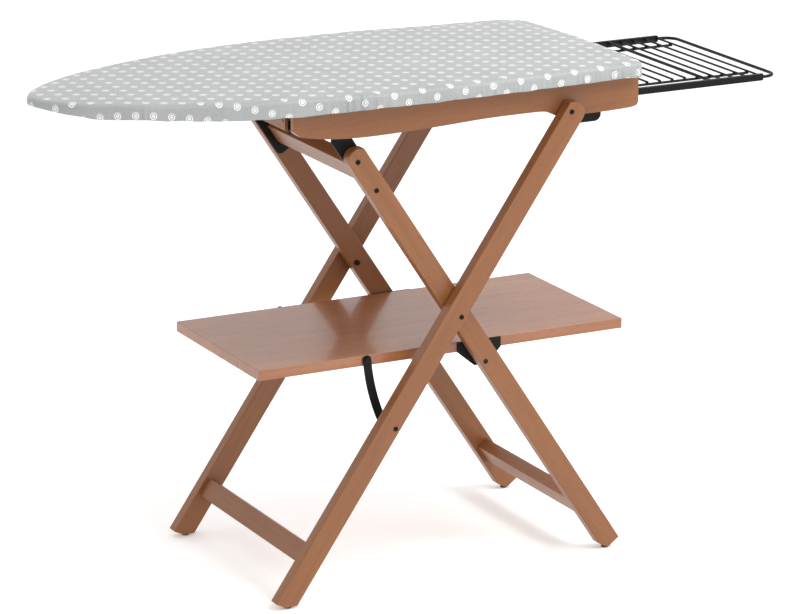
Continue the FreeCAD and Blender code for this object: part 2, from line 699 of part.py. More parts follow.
def make_iron_rest():
    """The wire tray: two flat rails, a looped end rod, two long rods and the cross rods over them."""
    low = ledge_z + tray_clearance
    inside = rail_in + tray_side_clearance
    out = inside + tray_rail_thickness
    rail = box(tray_x0, tray_x1, -out, -inside, low, low + tray_rail_height)
    rail = rail.makeFillet(tray_rail_radius, edges_at(rail, [(tray_x1, low)]))
    pair("tray_rail", rail)
    z = low + tray_rail_height / 2.0
    y = (out + inside) / 2.0
    tip = half_length - end_rod_radius
    bend = end_rod_corner
    s = bend * (1.0 - math.sqrt(0.5))
    path = Part.Wire([
        Part.LineSegment(V(tray_x1, -y, z), V(tip - bend, -y, z)).toShape(),
        Part.Arc(V(tip - bend, -y, z), V(tip - s, -y + s, z), V(tip, -y + bend, z)).toShape(),
        Part.LineSegment(V(tip, -y + bend, z), V(tip, y - bend, z)).toShape(),
        Part.Arc(V(tip, y - bend, z), V(tip - s, y - s, z), V(tip - bend, y, z)).toShape(),
        Part.LineSegment(V(tip - bend, y, z), V(tray_x1, y, z)).toShape()])
    profile = Part.Wire(Part.makeCircle(end_rod_radius, V(tray_x1, -y, z), V(1, 0, 0)))
    nodes["tray_end_rod"] = path.makePipeShell([profile], True, False)
    heavy_x = half_length - heavy_rod_inset
    back_x = tray_x0 + back_rod_inset
    last_x = heavy_x + outer_cross_rods * cross_rod_pitch + long_rod_overhang
    long_z = low + long_rod_radius + long_rod_rise
    group("tray_long_rods", both_sides([rod_x(-long_rod_spread, long_z, long_rod_radius, back_x, last_x)]))
    heavy = (heavy_x, long_z + long_rod_radius + heavy_rod_radius)
    nodes["tray_heavy_rod"] = rod_y(heavy, heavy_rod_radius, -inside, inside)
    back = rod_y((back_x, long_z), heavy_rod_radius, -inside, inside)
    nodes["tray_back_rod"] = back.cut(nodes["tray_long_rods"])
    cross_z = long_z + long_rod_radius + cross_rod_radius
    outers = [(heavy_x + k * cross_rod_pitch, cross_z) for k in range(1, outer_cross_rods + 1)]
    group("tray_outer_cross_rods", [rod_y(p, cross_rod_radius, -inside, inside) for p in outers])
    reach = long_rod_spread + long_rod_radius
    inners = [(heavy_x - k * cross_rod_pitch, cross_z) for k in range(1, inner_cross_rods + 1)]
    group("tray_inner_cross_rods", [rod_y(p, cross_rod_radius, -reach, reach) for p in inners])


make_board()
make_frame()
make_height_racks()
make_tray_plates()
make_outer_legs()
make_inner_legs()
make_shelf()
make_links()
make_iron_rest()

os.makedirs("parts", exist_ok=True)
for name, shape in nodes.items():
    shape.exportStep("parts/" + name + ".step")
box_all = Part.makeCompound(list(nodes.values())).BoundBox
print(len(nodes), "nodes; box", [round(v, 2) for v in (box_all.XMin, box_all.XMax, box_all.YMin, box_all.YMax,
                                                       box_all.ZMin, box_all.ZMax)])
for label, place in (("pivot", pivot), ("scissor", scissor), ("hook rod", hook_rod),
                     ("shelf pivot", shelf_pivot), ("link pin", link_pin), ("link bolt", link_bolt)):
    print(label, round(place[0], 3), round(place[1], 3))
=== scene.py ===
"""A folding ironing board: its looks, soft pieces and studio, in the shared frame, in metres."""
import json
import math

import bmesh
import bpy
import numpy as np
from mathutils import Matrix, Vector


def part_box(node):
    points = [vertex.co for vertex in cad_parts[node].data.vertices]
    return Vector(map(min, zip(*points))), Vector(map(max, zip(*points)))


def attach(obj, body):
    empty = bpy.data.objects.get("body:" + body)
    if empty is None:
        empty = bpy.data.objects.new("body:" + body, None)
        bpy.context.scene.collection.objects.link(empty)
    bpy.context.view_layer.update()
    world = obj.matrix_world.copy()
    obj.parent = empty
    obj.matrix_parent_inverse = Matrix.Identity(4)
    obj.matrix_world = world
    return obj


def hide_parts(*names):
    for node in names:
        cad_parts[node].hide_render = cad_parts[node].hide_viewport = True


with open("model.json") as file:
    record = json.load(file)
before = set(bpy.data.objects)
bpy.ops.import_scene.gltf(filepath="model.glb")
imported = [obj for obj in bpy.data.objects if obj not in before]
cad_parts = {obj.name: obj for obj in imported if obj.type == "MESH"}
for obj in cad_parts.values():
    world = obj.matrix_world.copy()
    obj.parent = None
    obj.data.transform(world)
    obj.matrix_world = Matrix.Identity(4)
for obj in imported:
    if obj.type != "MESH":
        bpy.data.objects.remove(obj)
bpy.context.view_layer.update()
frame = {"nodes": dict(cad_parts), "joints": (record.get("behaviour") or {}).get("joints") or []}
nodes = frame["nodes"]
scene = bpy.context.scene

# ---------------------------------------------------------------- sizes taken from the frame
cover_low, cover_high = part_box("fabric_cover")
pad_low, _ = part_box("foam_pad")
panel_low, panel_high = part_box("top_panel")
nose_x, tail_x = cover_low.x, cover_high.x
board_top = cover_high.z
panel_bottom = panel_low.z
half_width = cover_high.y
pivot = Vector(frame["joints"][0]["pos_m"])
scissor = Vector(frame["joints"][1]["pos_m"])
mm = 0.001


# ---------------------------------------------------------------- camera
SENSOR_WIDTH = 36.0
FOCAL_LENGTH = 177.1
CAMERA_PLACE = (nose_x - 2.4771, -6.2263, 2.4554)
LOOK_DOWN = 15.91
LOOK_RIGHT = 27.21
FARTHEST_SEEN = 60.0


def make_camera():
    """The camera on the nose's left, a little above the board, with its angles in degrees."""
    data = bpy.data.cameras.new("camera")
    data.sensor_width = SENSOR_WIDTH
    data.lens = FOCAL_LENGTH
    data.clip_end = FARTHEST_SEEN
    camera = bpy.data.objects.new("camera", data)
    camera.location = CAMERA_PLACE
    camera.rotation_euler = (math.radians(90.0 - LOOK_DOWN), 0.0, math.radians(-LOOK_RIGHT))
    scene.collection.objects.link(camera)
    scene.camera = camera


# ---------------------------------------------------------------- shader helpers
def rgb(red, green, blue):
    """An sRGB colour, 0 to 255, as the linear values that the shaders take."""
    values = [c / 255.0 for c in (red, green, blue)]
    linear = [c / 12.92 if c < 0.04045 else ((c + 0.055) / 1.055) ** 2.4 for c in values]
    return (*linear, 1.0)


def add(tree, kind, inputs=None, **settings):
    """A node with its settings, and its inputs set to values or linked to sockets."""
    node = tree.nodes.new(kind)
    for key, value in settings.items():
        setattr(node, key, value)
    for key, value in (inputs or {}).items():
        socket = node.inputs[key]
        if isinstance(value, bpy.types.NodeSocket):
            tree.links.new(value, socket)
        else:
            socket.default_value = value
    return node


def calc(tree, operation, first, second=0.0):
    """Arithmetic on one or two numbers."""
    return add(tree, "ShaderNodeMath", {0: first, 1: second}, operation=operation).outputs[0]


def vector(tree, operation, first, second):
    """A vector worked out from another vector, or from a factor where the operation is SCALE."""
    key = "Scale" if operation == "SCALE" else 1
    return add(tree, "ShaderNodeVectorMath", {0: first, key: second},
               operation=operation).outputs[0]


def noise(tree, coordinates, scale, detail=3.0, roughness=0.5, distortion=0.0):
    """Cloudy noise, 0 to 1."""
    inputs = {"Vector": coordinates, "Scale": scale, "Detail": detail, "Roughness": roughness,
              "Distortion": distortion}
    return add(tree, "ShaderNodeTexNoise", inputs).outputs["Fac"]


def spread(tree, value, low, high, to_low=0.0, to_high=1.0, smooth=False):
    """A value moved from one range to another, and held inside it."""
    inputs = {"Value": value, "From Min": low, "From Max": high, "To Min": to_low,
              "To Max": to_high}
    kind = "SMOOTHSTEP" if smooth else "LINEAR"
    return add(tree, "ShaderNodeMapRange", inputs, interpolation_type=kind).outputs[0]


def mix_colour(tree, factor, first, second):
    """A colour between two others. The mix node has its colour inputs at 6 and 7."""
    inputs = {0: factor, 6: first, 7: second}
    return add(tree, "ShaderNodeMix", inputs, data_type="RGBA").outputs[2]


def new_group(name, inputs, outputs):
    """An empty shader group with named sockets, and its input and output nodes."""
    group = bpy.data.node_groups.new(name, "ShaderNodeTree")
    for label, kind, default in inputs:
        socket = group.interface.new_socket(label, in_out="INPUT", socket_type="NodeSocket" + kind)
        if default is not None:
            socket.default_value = default
    for label, kind in outputs:
        group.interface.new_socket(label, in_out="OUTPUT", socket_type="NodeSocket" + kind)
    given = group.nodes.new("NodeGroupInput").outputs
    return group, given, group.nodes.new("NodeGroupOutput").inputs


def place_group(tree, group, inputs):
    """A shader group set in a tree, with its inputs set or linked by name."""
    return add(tree, "ShaderNodeGroup", inputs, node_tree=group).outputs


def new_material(name, **sockets):
    """A material with its Principled BSDF, whose plain sockets are set by name."""
    material = bpy.data.materials.new(name)
    material.use_nodes = True
    tree = material.node_tree
    shader = tree.nodes["Principled BSDF"]
    for key, value in sockets.items():
        shader.inputs[key.replace("_", " ")].default_value = value
    return material, tree, shader


def bump(tree, shader, height, distance, strength=1.0):
    """Relief of the given depth on a shader."""
    node = add(tree, "ShaderNodeBump",
               {"Height": height, "Distance": distance, "Strength": strength})
    tree.links.new(node.outputs[0], shader.inputs["Normal"])


# ---------------------------------------------------------------- shared effects
def make_beech_grain():
    """Stained beech: soft streaks along X, short dark flecks, and a slow drift of tone."""
    group, given, out = new_group(
        "beech_grain",
        [("Along", "Vector", None), ("Light", "Color", rgb(190, 135, 95)),
         ("Dark", "Color", rgb(130, 80, 50)),
         ("Fleck", "Color", rgb(90, 50, 30)), ("Fleck amount", "Float", 0.6),
         ("Streak", "Float", 0.5)],
        [("Color", "Color"), ("Roughness", "Float"), ("Height", "Float")])
    streak_at = vector(group, "MULTIPLY", given["Along"], (1.2, 26.0, 26.0))
    fine_at = vector(group, "MULTIPLY", given["Along"], (5.0, 240.0, 240.0))
    fleck_at = vector(group, "MULTIPLY", given["Along"], (60.0, 700.0, 700.0))
    drift = noise(group, given["Along"], scale=2.6, detail=2.0)
    streaks = noise(group, streak_at, scale=2.2, detail=4.0, roughness=0.55, distortion=0.6)
    fine = noise(group, fine_at, scale=1.6, detail=3.0, roughness=0.6)
    flecks = spread(group, noise(group, fleck_at, scale=1.0, detail=1.0), low=0.60, high=0.70,
                    smooth=True)
    tone = calc(group, "ADD", calc(group, "MULTIPLY", streaks, 0.6),
                calc(group, "MULTIPLY", drift, 0.4))
    tone = spread(group, calc(group, "ADD", tone, calc(group, "MULTIPLY", fine, 0.22)), low=0.42,
                  high=0.80)
    tone = calc(group, "MULTIPLY", tone, given["Streak"])
    colour = mix_colour(group, tone, given["Light"], given["Dark"])
    fleck_mask = calc(group, "MULTIPLY", flecks, given["Fleck amount"])
    group.links.new(mix_colour(group, fleck_mask, colour, given["Fleck"]), out["Color"])
    rough = calc(group, "ADD", calc(group, "MULTIPLY", fine, 0.16),
                 calc(group, "MULTIPLY", flecks, 0.1))
    group.links.new(rough, out["Roughness"])
    height = calc(group, "SUBTRACT", calc(group, "MULTIPLY", fine, 0.35),
                  calc(group, "MULTIPLY", flecks, 0.5))
    group.links.new(height, out["Height"])
    return group


def make_fine_coat():
    """The orange peel and rubbed spots of a thin black coat."""
    group, given, out = new_group(
        "fine_coat",
        [("Vector", "Vector", None), ("Color", "Color", rgb(24, 24, 25)),
         ("Rubbed", "Color", rgb(60, 58, 56)),
         ("Grit size", "Float", 900.0), ("Base roughness", "Float", 0.42)],
        [("Color", "Color"), ("Roughness", "Float"), ("Height", "Float")])
    grit = noise(group, given["Vector"], given["Grit size"], detail=2.0)
    patches = noise(group, given["Vector"], scale=35.0, detail=4.0, roughness=0.65)
    rubbed = spread(group, patches, low=0.58, high=0.80, to_low=0.0, to_high=0.5, smooth=True)
    group.links.new(mix_colour(group, rubbed, given["Color"], given["Rubbed"]), out["Color"])
    rough = calc(group, "ADD", given["Base roughness"],
                 spread(group, patches, low=0.3, high=0.7, to_low=-0.08, to_high=0.10))
    group.links.new(rough, out["Roughness"])
    group.links.new(grit, out["Height"])
    return group


def make_plain_weave():
    """Warp and weft threads with a slight slub, as a height and a small change of shade."""
    group, given, out = new_group(
        "plain_weave",
        [("Cloth", "Vector", None), ("Threads per metre", "Float", 1800.0)],
        [("Height", "Float"), ("Shade", "Float")])
    scaled = vector(group, "SCALE", given["Cloth"], given["Threads per metre"])
    parts = add(group, "ShaderNodeSeparateXYZ", {0: scaled}).outputs
    warp = calc(group, "ABSOLUTE",
                calc(group, "SINE", calc(group, "MULTIPLY", parts["X"], math.pi)))
    weft = calc(group, "ABSOLUTE",
                calc(group, "SINE", calc(group, "MULTIPLY", parts["Y"], math.pi)))
    slub = noise(group, vector(group, "MULTIPLY", given["Cloth"], (40.0, 500.0, 1.0)), scale=1.0,
                 detail=3.0)
    height = calc(group, "MULTIPLY", calc(group, "ADD", warp, weft), 0.5)
    group.links.new(calc(group, "ADD", height, calc(group, "MULTIPLY", slub, 0.4)), out["Height"])
    heather = noise(group, given["Cloth"], scale=420.0, detail=3.0, roughness=0.7)
    group.links.new(spread(group, heather, low=0.3, high=0.7, to_low=0.0, to_high=1.0),
                    out["Shade"])
    return group


def make_spiral_print():
    """A lattice of printed spirals on the flat cloth, set by two steps in metres."""
    group, given, out = new_group(
        "spiral_print",
        [("Cloth", "Vector", None), ("Step A", "Vector", (0.0279, -0.0148, 0.0)),
         ("Step B", "Vector", (-0.0008, -0.0343, 0.0)), ("Start", "Vector", (-0.6835, 0.0088, 0.0)),
         ("Radius", "Float", 0.0070), ("Turn width", "Float", 0.0034),
         ("Line share", "Float", 0.5)],
        [("Mask", "Float")])

    def cross(first, second):
        """The area between two flat vectors, which gives a place's share of each step."""
        a = add(group, "ShaderNodeSeparateXYZ", {0: first}).outputs
        b = add(group, "ShaderNodeSeparateXYZ", {0: second}).outputs
        return calc(group, "SUBTRACT", calc(group, "MULTIPLY", a["X"], b["Y"]),
                    calc(group, "MULTIPLY", a["Y"], b["X"]))

    here = vector(group, "SUBTRACT", given["Cloth"], given["Start"])
    area = cross(given["Step A"], given["Step B"])
    along_a = calc(group, "DIVIDE", cross(here, given["Step B"]), area)
    along_b = calc(group, "DIVIDE", cross(given["Step A"], here), area)
    count_a = calc(group, "ROUND", along_a)
    count_b = calc(group, "ROUND", along_b)
    to_a = vector(group, "SCALE", given["Step A"], count_a)
    to_b = vector(group, "SCALE", given["Step B"], count_b)
    offset = vector(group, "SUBTRACT", vector(group, "SUBTRACT", here, to_a), to_b)
    local = add(group, "ShaderNodeSeparateXYZ", {0: offset}).outputs
    distance = calc(group, "SQRT",
                    calc(group, "ADD", calc(group, "MULTIPLY", local["X"], local["X"]),
                                        calc(group, "MULTIPLY", local["Y"], local["Y"])))
    turn = calc(group, "DIVIDE", calc(group, "ARCTAN2", local["Y"], local["X"]), 2.0 * math.pi)
    phase = calc(group, "FRACT",
                 calc(group, "ADD", calc(group, "DIVIDE", distance, given["Turn width"]), turn))
    line = calc(group, "LESS_THAN", phase, given["Line share"])
    inside = calc(group, "LESS_THAN", distance, given["Radius"])
    core = calc(group, "LESS_THAN", distance, calc(group, "MULTIPLY", given["Turn width"], 0.4))
    group.links.new(calc(group, "MULTIPLY", inside, calc(group, "MAXIMUM", line, core)),
                    out["Mask"])
    return group


beech_grain = make_beech_grain()
fine_coat = make_fine_coat()
plain_weave = make_plain_weave()
spiral_print = make_spiral_print()


# ---------------------------------------------------------------- materials
STAINED_LIGHT, STAINED_DARK = (138, 87, 48), (106, 62, 32)
BARE_LIGHT, BARE_DARK = (216, 178, 132), (190, 148, 104)
LAMINATE_LIGHT, LAMINATE_DARK = (158, 102, 64), (130, 78, 45)


def stained_timber(name, tilt=0.0, across=False, start=(0.0, 0.0, 0.0), light=STAINED_LIGHT,
                   dark=STAINED_DARK):
    """Lacquered beech whose grain runs along a leg tilted from +X, or along Y."""
    material, tree, shader = new_material(name, Coat_Weight=0.12, Coat_Roughness=0.25, IOR=1.45)
    place = add(tree, "ShaderNodeTexCoord").outputs["Object"]
    turned = add(tree, "ShaderNodeMapping", {"Vector": place}, vector_type="POINT")
    turned.inputs["Rotation"].default_value = (0.0, tilt, -math.pi / 2.0 if across else 0.0)
    turned.inputs["Location"].default_value = start
    grain = place_group(tree, beech_grain,
                        {"Along": turned.outputs[0], "Light": rgb(*light), "Dark": rgb(*dark),
                         "Fleck": rgb(72, 38, 18), "Fleck amount": 0.16, "Streak": 0.55})
    tree.links.new(grain["Color"], shader.inputs["Base Color"])
    tree.links.new(calc(tree, "ADD", grain["Roughness"], 0.30), shader.inputs["Roughness"])
    bump(tree, shader, grain["Height"], distance=0.0002, strength=0.5)
    return material


def shelf_laminate():
    """The shelf's printed wood, with a long figure under a clear coat."""
    light, dark = LAMINATE_LIGHT, LAMINATE_DARK
    material, tree, shader = new_material("shelf_laminate", Coat_Weight=0.35, Coat_Roughness=0.10,
                                          IOR=1.5)
    place = add(tree, "ShaderNodeTexCoord").outputs["Object"]
    figure = vector(tree, "MULTIPLY", place, (0.8, 5.5, 5.5))
    cathedral = noise(tree, figure, scale=2.4, detail=4.0, roughness=0.55, distortion=1.1)
    grain = place_group(tree, beech_grain,
                        {"Along": place, "Light": rgb(*light), "Dark": rgb(*dark),
                         "Fleck": rgb(86, 44, 30), "Fleck amount": 0.35, "Streak": 0.8})
    bands = spread(tree, cathedral, low=0.40, high=0.62, to_low=0.0, to_high=0.45, smooth=True)
    tree.links.new(mix_colour(tree, bands, grain["Color"], rgb(*dark)), shader.inputs["Base Color"])
    tree.links.new(calc(tree, "ADD", grain["Roughness"], 0.24), shader.inputs["Roughness"])
    bump(tree, shader, grain["Height"], distance=0.0001, strength=0.3)
    return material


def coated_metal(name, colour=(13, 13, 14), rubbed=(30, 29, 28), grit=900.0, roughness=0.48,
                 metallic=0.0, depth=0.00008):
    """Painted, blackened or oiled metal."""
    material, tree, shader = new_material(name, Metallic=metallic, Specular_IOR_Level=0.18)
    place = add(tree, "ShaderNodeTexCoord").outputs["Object"]
    coat = place_group(tree, fine_coat,
                       {"Vector": place, "Color": rgb(*colour), "Rubbed": rgb(*rubbed),
                        "Grit size": grit, "Base roughness": roughness})
    tree.links.new(coat["Color"], shader.inputs["Base Color"])
    tree.links.new(coat["Roughness"], shader.inputs["Roughness"])
    bump(tree, shader, coat["Height"], depth, strength=0.6)
    return material


def printed_cotton():
    """Grey cotton with white spirals printed on it. It reads the cloth's flat layout."""
    material, tree, shader = new_material("printed_cotton", Roughness=0.42, Sheen_Weight=0.25,
                                          Sheen_Roughness=0.4)
    cloth = add(tree, "ShaderNodeUVMap", uv_map="cloth").outputs[0]
    weave = place_group(tree, plain_weave, {"Cloth": cloth})
    dots = place_group(tree, spiral_print, {"Cloth": cloth})
    ground = mix_colour(tree, weave["Shade"], rgb(135, 138, 137), rgb(163, 166, 165))
    fade = noise(tree, cloth, scale=9.0, detail=3.0)
    ground = mix_colour(tree, spread(tree, fade, low=0.35, high=0.65, to_low=0.0, to_high=0.25),
                        ground, rgb(176, 178, 176))
    ink = mix_colour(tree, weave["Shade"], rgb(224, 227, 226), rgb(240, 242, 241))
    cover = calc(tree, "MULTIPLY", dots["Mask"], 0.92)
    tree.links.new(mix_colour(tree, cover, ground, ink), shader.inputs["Base Color"])
    tree.links.new(spread(tree, dots["Mask"], low=0.0, high=1.0, to_low=0.42, to_high=0.38),
                   shader.inputs["Roughness"])
    height = calc(tree, "ADD", weave["Height"], calc(tree, "MULTIPLY", dots["Mask"], 0.4))
    bump(tree, shader, height, distance=0.00025, strength=0.45)
    return material


def open_foam():
    """Pale foam with open cells."""
    material, tree, shader = new_material("open_foam", Roughness=0.95)
    place = add(tree, "ShaderNodeTexCoord").outputs["Object"]
    cells = add(tree, "ShaderNodeTexVoronoi", {"Vector": place, "Scale": 500.0}).outputs["Distance"]
    tone = noise(tree, place, scale=30.0, detail=3.0)
    tree.links.new(mix_colour(tree, tone, rgb(226, 220, 204), rgb(206, 198, 180)),
                   shader.inputs["Base Color"])
    bump(tree, shader, cells, distance=0.0006)
    return material


def pressed_board():
    """The raw underside of the panel: pale chips in a brown ground."""
    material, tree, shader = new_material("pressed_board", Roughness=0.75)
    place = add(tree, "ShaderNodeTexCoord").outputs["Object"]
    flat = vector(tree, "MULTIPLY", place, (1.0, 1.6, 1.0))
    chips = add(tree, "ShaderNodeTexVoronoi", {"Vector": flat, "Scale": 190.0}).outputs["Color"]
    shade = add(tree, "ShaderNodeSeparateColor", {0: chips}).outputs[0]
    colour = mix_colour(tree, shade, rgb(170, 134, 96), rgb(206, 172, 130))
    dust = noise(tree, place, scale=60.0, detail=5.0, roughness=0.7)
    tree.links.new(mix_colour(tree, spread(tree, dust, low=0.3, high=0.7, to_low=0.0, to_high=0.4),
                              colour, rgb(150, 112, 78)),
                   shader.inputs["Base Color"])
    bump(tree, shader, shade, distance=0.0002, strength=0.5)
    return material


def stitch_thread():
    """Light grey thread with its ply."""
    material, tree, shader = new_material("stitch_thread", Roughness=0.6, Sheen_Weight=0.3)
    place = add(tree, "ShaderNodeTexCoord").outputs["Object"]
    ply = add(tree, "ShaderNodeTexWave",
              {"Vector": place, "Scale": 900.0, "Distortion": 2.0}).outputs["Fac"]
    tree.links.new(mix_colour(tree, ply, rgb(190, 193, 192), rgb(225, 227, 226)),
                   shader.inputs["Base Color"])
    bump(tree, shader, ply, distance=0.0001)
    return material


def foot_rubber():
    """Dark rubber with scuffs."""
    material, tree, shader = new_material("foot_rubber", Roughness=0.8)
    place = add(tree, "ShaderNodeTexCoord").outputs["Object"]
    scuffs = noise(tree, place, scale=220.0, detail=5.0, roughness=0.7)
    tree.links.new(mix_colour(tree, spread(tree, scuffs, low=0.4, high=0.7), rgb(26, 26, 26),
                              rgb(56, 55, 54)),
                   shader.inputs["Base Color"])
    bump(tree, shader, scuffs, distance=0.0002)
    return material


def studio_floor():
    """A white floor that glows slightly, so that it meets the background without an edge."""
    material, tree, shader = new_material("studio_floor", Roughness=0.9, Emission_Strength=0.22)
    shader.inputs["Emission Color"].default_value = WHITE
    place = add(tree, "ShaderNodeTexCoord").outputs["Object"]
    tone = noise(tree, place, scale=0.4, detail=2.0)
    tree.links.new(mix_colour(tree, tone, rgb(250, 250, 250), rgb(252, 252, 252)),
                   shader.inputs["Base Color"])
    return material


def give(material, *names):
    """Puts one material on CAD nodes or pieces."""
    for name in names:
        target = nodes[name] if isinstance(name, str) else name
        target.data.materials.clear()
        target.data.materials.append(material)


def leg_tilt(end):
    """The angle of a leg from +X, from the scissor bolt to the middle of its pivoted end."""
    return math.atan2(end.z - scissor.z, end.x - scissor.x)


def finish_cad_nodes():
    """Gives every CAD node that stays visible its material."""
    hook_low, hook_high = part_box("hook_rod")
    hook = (hook_low + hook_high) / 2.0
    outer_tilt = leg_tilt(pivot)
    inner_tilt = leg_tilt(hook)
    give(stained_timber("outer_front_beech", outer_tilt), "outer_leg_front")
    give(stained_timber("outer_rear_beech", outer_tilt, start=(0.7, 0.0, 0.3)), "outer_leg_rear")
    give(stained_timber("inner_front_beech", inner_tilt, start=(1.4, 0.0, 0.9)), "inner_leg_front")
    give(stained_timber("inner_rear_beech", inner_tilt, start=(2.3, 0.0, 1.6)), "inner_leg_rear")
    give(stained_timber("cross_beech", across=True, start=(3.1, 0.4, 0.2)),
         "outer_lower_rail", "inner_lower_rail", "inner_upper_rail", "nose_cross_rail",
         "tail_cross_rail")
    give(stained_timber("side_rail_beech", start=(4.0, 0.0, 2.0)),
         "side_rail_front", "rail_ledge_front", "tray_keeper_front", "inner_runner_front")
    give(stained_timber("far_rail_beech", start=(5.2, 0.0, 3.0)),
         "side_rail_rear", "rail_ledge_rear", "tray_keeper_rear", "inner_runner_rear")
    give(stained_timber("dowel_beech", across=True, light=BARE_LIGHT, dark=BARE_DARK),
         "outer_rail_dowels", "inner_rail_dowels")
    give(shelf_laminate(), "shelf_board")
    give(coated_metal("black_plate"),
         "hook_plate_front", "hook_plate_rear", "height_rack_front", "height_rack_rear",
         "tray_plate_front", "tray_plate_rear", "shelf_bracket_front", "shelf_bracket_rear",
         "curved_link_front", "curved_link_rear", "hook_rod")
    give(coated_metal("powder_coated_wire", colour=(11, 11, 12), rubbed=(28, 27, 26), grit=1500.0,
                      roughness=0.42, metallic=0.0, depth=0.00006),
         "tray_rail_front", "tray_rail_rear", "tray_end_rod", "tray_long_rods", "tray_heavy_rod",
         "tray_back_rod", "tray_outer_cross_rods", "tray_inner_cross_rods")
    give(coated_metal("blackened_bolts", colour=(30, 29, 28), rubbed=(86, 80, 74), grit=1200.0,
                      roughness=0.34, metallic=0.6, depth=0.00005),
         "pivot_bolts", "scissor_bolts", "link_bolts", "hook_plate_bolts", "shelf_pivot_bolts",
         "link_pins", "bracket_screws", "tray_plate_screws", "rack_rivets", "pivot_washers",
         "scissor_washers", "link_spacers", "shelf_pivot_washers")
    give(coated_metal("oiled_screws", colour=(70, 64, 56), rubbed=(110, 100, 84), grit=700.0,
                      roughness=0.34, metallic=1.0, depth=0.00004),
         "runner_screws")
    give(foot_rubber(), "outer_foot_pads", "inner_foot_pads")
    give(pressed_board(), "top_panel")


# ---------------------------------------------------------------- the board's plan
NOSE_LENGTH = 0.594
NOSE_FULLNESS = 1.75
TAIL_TAPER = 0.020
TAIL_BULGE = 0.011
TAIL_CORNER = 0.038
BEVEL_LENGTH = 0.085
BEVEL_RISE = 0.012
COVER_SLACK = 0.3 * mm


def half_width_at(x, width, start, widest):
    """Half the board's width at x: a superellipse nose, then a flank that tapers slowly."""
    if x <= widest:
        s = min(1.0, (widest - x) / (widest - start))
        return width * (1.0 - s ** NOSE_FULLNESS) ** (1.0 / NOSE_FULLNESS)
    return width - TAIL_TAPER * ((x - widest) / (tail_x - widest)) ** 2


def plan_outline(inset, count):
    """Evenly spaced points round the board's plan, seen from above, starting at the nose's tip."""
    start, end = nose_x + inset, tail_x - inset
    widest = nose_x + NOSE_LENGTH
    width = half_width - COVER_SLACK - inset
    corner = TAIL_CORNER - inset
    side_end = end - TAIL_BULGE
    upper = []
    for k in range(400):
        x = start + (widest - start) * (1.0 - math.cos(math.pi / 2.0 * k / 399.0))
        upper.append((x, half_width_at(x, width, start, widest)))
    flank_end = side_end - corner
    for k in range(1, 100):
        x = widest + (flank_end - widest) * k / 99.0
        upper.append((x, half_width_at(x, width, start, widest)))
    x0, y0 = upper[-1]
    for k in range(1, 40):
        turn = math.pi / 2.0 * k / 39.0
        y = y0 - corner * (1.0 - math.cos(turn))
        lift = TAIL_BULGE * (1.0 - (y / width) ** 2) * math.sin(turn)
        upper.append((x0 + corner * math.sin(turn) + lift, y))
    y1 = upper[-1][1]
    for k in range(1, 40):
        y = y1 * (1.0 - k / 39.0)
        upper.append((side_end + TAIL_BULGE * (1.0 - (y / width) ** 2), y))
    path = np.array(upper + [(x, -y) for x, y in reversed(upper[1:-1])])
    steps = np.linalg.norm(np.diff(np.vstack([path, path[:1]]), axis=0), axis=1)
    travelled = np.concatenate([[0.0], np.cumsum(steps)])
    wanted = np.linspace(0.0, travelled[-1], count, endpoint=False)
    closed = np.vstack([path, path[:1]])
    return np.stack([np.interp(wanted, travelled, closed[:, i]) for i in (0, 1)],
                    axis=1), travelled[-1]


def outward_normals(points):
    """Unit normals pointing out of a closed plan whose points run clockwise from above."""
    ahead = np.roll(points, -1, axis=0) - np.roll(points, 1, axis=0)
    normals = np.stack([-ahead[:, 1], ahead[:, 0]], axis=1)
    normals /= np.linalg.norm(normals, axis=1)[:, None]
    middle = np.array([(nose_x + tail_x) / 2.0, 0.0])
    flip = np.sum(normals * (points - middle), axis=1).mean() < 0.0
    return -normals if flip else normals


def rings_to_mesh(name, rings, uvs=None):
    """A mesh of closed rings of equal length, each joined to the next, with optional cloth UVs."""
    count = len(rings[0])
    vertices = np.vstack(rings)
    faces = []
    for r in range(len(rings) - 1):
        for k in range(count):
            j = (k + 1) % count
            faces.append((r * count + k, r * count + j, (r + 1) * count + j, (r + 1) * count + k))
    mesh = bpy.data.meshes.new(name)
    mesh.from_pydata(vertices.tolist(), [], faces)
    if uvs is not None:
        layer = mesh.uv_layers.new(name="cloth")
        flat = np.vstack(uvs)
        loops = np.array([loop.vertex_index for loop in mesh.loops])
        layer.data.foreach_set("uv", flat[loops].ravel())
    piece = bpy.data.objects.new(name, mesh)
    scene.collection.objects.link(piece)
    shape = bmesh.new()
    shape.from_mesh(mesh)
    bmesh.ops.remove_doubles(shape, verts=shape.verts, dist=0.02 * mm)
    bmesh.ops.recalc_face_normals(shape, faces=shape.faces)
    shape.to_mesh(mesh)
    shape.free()
    for polygon in mesh.polygons:
        polygon.use_smooth = True
    return piece


def point_up(piece):
    """Turns a sheet's faces so that its widest part looks up."""
    up = sum(p.normal.z * p.area for p in piece.data.polygons)
    if up < 0.0:
        piece.data.flip_normals()


# ---------------------------------------------------------------- the printed cover
COVER_SAMPLES = 900
COVER_WALL = 1.0 * mm
HEM_INSETS = (1.4, 3.0, 6.0, 9.5, 12.0, 13.2)
HEM_TURNS = 3.0
ROLL_STEPS = 8
BAND_STEPS = 14
SPINE_FROM_NOSE, SPINE_FROM_TAIL = 0.12, 0.20
# A patch round a tail corner: how far in from the tail, how far across, and its width.
NEAR_CORNER = (0.012, -0.228, 0.040)
FAR_CORNER = (0.012, 0.225, 0.045)
SAGGED_CORNER = (0.020, 0.210, 0.070)
TIGHT_CORNER = (0.000, -0.230, 0.035)
# Where the near side's hem is pulled tight: how much, its x, and its width.
TUCKS = ((1.0, -0.185, 0.055), (0.85, 0.33, 0.08), (0.35, 0.08, 0.09), (0.30, -0.56, 0.03))
FAR_TUCK = 0.5
LARGEST_PUCKER = 5.5


